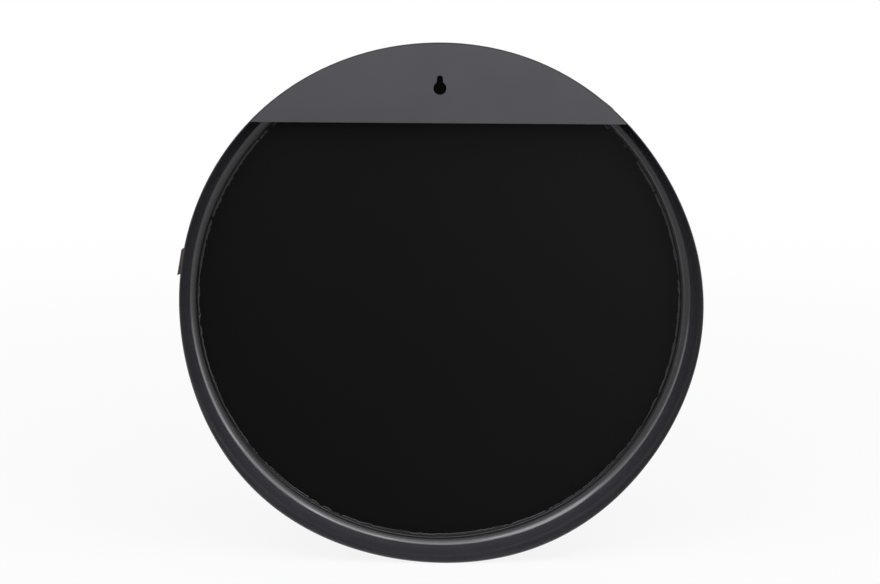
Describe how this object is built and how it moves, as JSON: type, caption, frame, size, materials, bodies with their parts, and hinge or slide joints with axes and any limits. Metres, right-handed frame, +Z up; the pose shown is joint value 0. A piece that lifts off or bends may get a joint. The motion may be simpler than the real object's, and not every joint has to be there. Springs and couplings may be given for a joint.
{
  "type": "round wall mirror",
  "caption": "Round wall mirror in a deep black steel ring with a front flange, a backed glass pane, and a segment-shaped back plate with a keyhole to hang it by.",
  "frame": {"origin": "centre of the ring's rear edge, in the plane of the wall that the mirror hangs on", "axes": "+Z up, +Y into the wall, so the mirror faces -Y, and +X to the right of someone who looks into it"},
  "size_m": [0.6001, 0.06, 0.6],
  "materials": {
    "ring_coat": "satin black powder coat on steel",
    "plate_coat": "satin black powder coat on steel",
    "weld_coat": "rough weld under satin black powder coat",
    "bedding_tape": "matte foam tape",
    "float_glass": "polished float glass",
    "silver": "silvered, painted on the back",
    "black_board": "fibreboard with a satin black face",
    "sealant": "glossy black sealant",
    "foam_pad": "matte foam",
    "brass": "bare, lightly tarnished"
  },
  "bodies": {
    "root": {"frame_ring": "ring_coat", "hanger_plate": "plate_coat", "plate_welds": "weld_coat", "seat_tape": "bedding_tape", "mirror_glass": "float_glass", "silver_coating": "silver", "backing_board": "black_board", "sealant_bead": "sealant", "tag_pad": "foam_pad", "brass_tag": "brass"}
  },
  "joints": []
}
